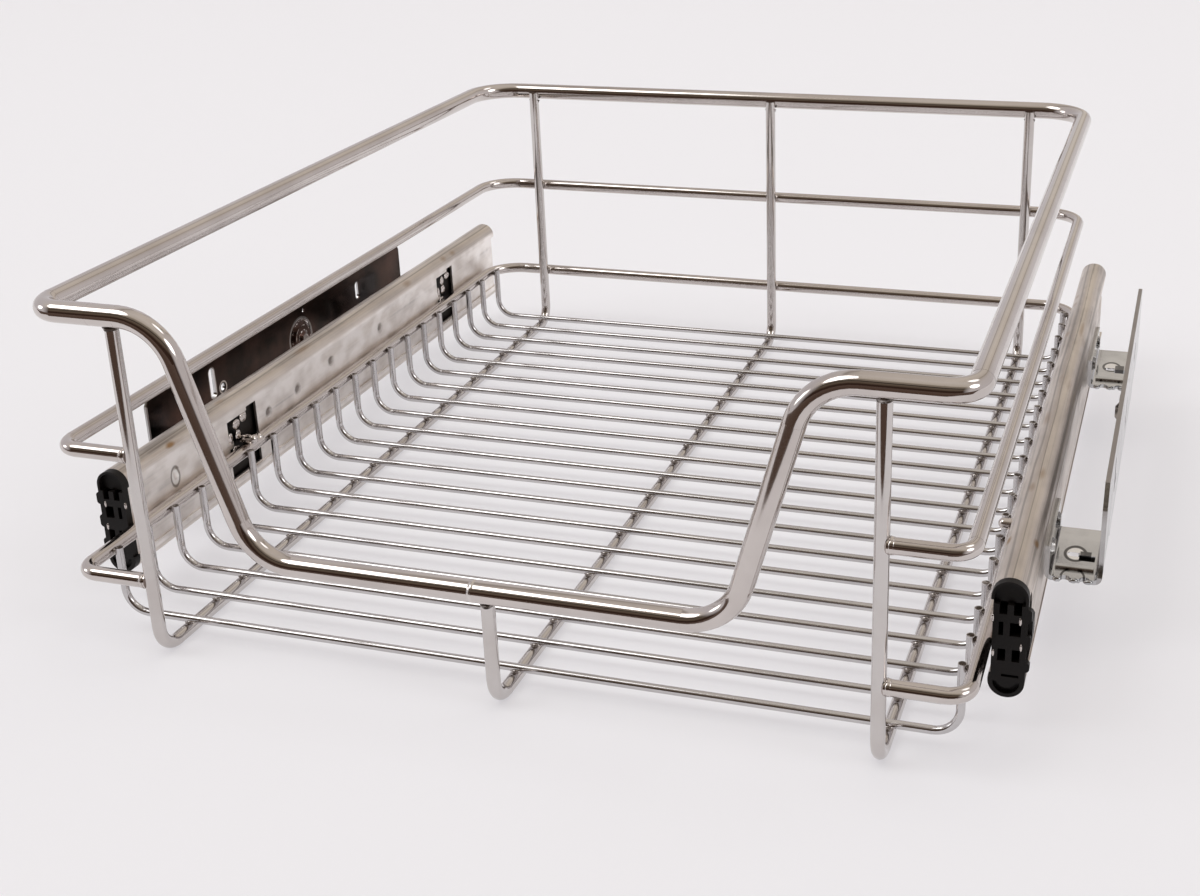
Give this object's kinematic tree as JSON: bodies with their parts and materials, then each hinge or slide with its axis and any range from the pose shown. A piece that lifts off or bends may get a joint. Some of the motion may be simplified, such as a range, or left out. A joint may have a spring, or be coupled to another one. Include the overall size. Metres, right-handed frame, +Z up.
{
  "type": "pull out cabinet basket",
  "caption": "Chromed wire basket with a dipped front, on full-extension ball-bearing slides carried by side mounting rails for a kitchen cabinet.",
  "frame": {"origin": "centre of the bounding box at the floor that the basket's runners stand on", "axes": "+X across the cabinet to the right, -Y out of the cabinet towards the user, +Z up"},
  "size_m": [0.414, 0.4132, 0.145],
  "materials": {
    "rim_chrome": "bright chrome plate",
    "runner_chrome": "bright chrome plate",
    "floor_chrome": "bright chrome plate",
    "peg_chrome": "bright chrome plate",
    "slide_zinc": "dull zinc plate",
    "inner_zinc": "dull zinc plate",
    "cage_steel": "plain rolled steel",
    "ball_steel": "polished",
    "cap_plastic": "moulded black plastic",
    "rail_steel": "bright plated sheet",
    "rivet_steel": "plated"
  },
  "bodies": {
    "cabinet_rails": {"left_mounting_rail": "rail_steel", "right_mounting_rail": "rail_steel", "left_rivets": "rivet_steel", "right_rivets": "rivet_steel", "left_cabinet_member": "inner_zinc", "right_cabinet_member": "inner_zinc"},
    "basket": {"top_rim": "rim_chrome", "middle_rim": "rim_chrome", "lower_rim": "rim_chrome", "left_runner": "runner_chrome", "centre_runner": "runner_chrome", "right_runner": "runner_chrome", "floor_wires": "floor_chrome", "left_peg": "peg_chrome", "right_peg": "peg_chrome", "left_wide_member": "slide_zinc", "right_wide_member": "slide_zinc", "left_front_cap": "cap_plastic", "right_front_cap": "cap_plastic"},
    "left_middle": {"left_middle_member": "inner_zinc"},
    "left_outer_cage": {"left_outer_cage": "cage_steel", "left_outer_balls": "ball_steel"},
    "left_inner_cage": {"left_inner_cage": "cage_steel", "left_inner_balls": "ball_steel"},
    "right_middle": {"right_middle_member": "inner_zinc"},
    "right_outer_cage": {"right_outer_cage": "cage_steel", "right_outer_balls": "ball_steel"},
    "right_inner_cage": {"right_inner_cage": "cage_steel", "right_inner_balls": "ball_steel"}
  },
  "joints": [
    {"name": "basket_slide", "type": "slide", "parent": "cabinet_rails", "child": "basket", "axis": [0, -1, 0], "range_m": [0, 0.36]},
    {"name": "left_middle_slide", "type": "slide", "parent": "cabinet_rails", "child": "left_middle", "axis": [0, -1, 0], "range_m": [0, 0.18]},
    {"name": "left_outer_cage_slide", "type": "slide", "parent": "cabinet_rails", "child": "left_outer_cage", "axis": [0, -1, 0], "range_m": [0, 0.27]},
    {"name": "left_inner_cage_slide", "type": "slide", "parent": "cabinet_rails", "child": "left_inner_cage", "axis": [0, -1, 0], "range_m": [0, 0.09]},
    {"name": "right_middle_slide", "type": "slide", "parent": "cabinet_rails", "child": "right_middle", "axis": [0, -1, 0], "range_m": [0, 0.18]},
    {"name": "right_outer_cage_slide", "type": "slide", "parent": "cabinet_rails", "child": "right_outer_cage", "axis": [0, -1, 0], "range_m": [0, 0.27]},
    {"name": "right_inner_cage_slide", "type": "slide", "parent": "cabinet_rails", "child": "right_inner_cage", "axis": [0, -1, 0], "range_m": [0, 0.09]}
  ],
  "couplings": [
    {"joint": "left_middle_slide", "follows": "basket_slide", "ratio": 0.5},
    {"joint": "left_outer_cage_slide", "follows": "basket_slide", "ratio": 0.75},
    {"joint": "left_inner_cage_slide", "follows": "basket_slide", "ratio": 0.25},
    {"joint": "right_middle_slide", "follows": "basket_slide", "ratio": 0.5},
    {"joint": "right_outer_cage_slide", "follows": "basket_slide", "ratio": 0.75},
    {"joint": "right_inner_cage_slide", "follows": "basket_slide", "ratio": 0.25}
  ]
}
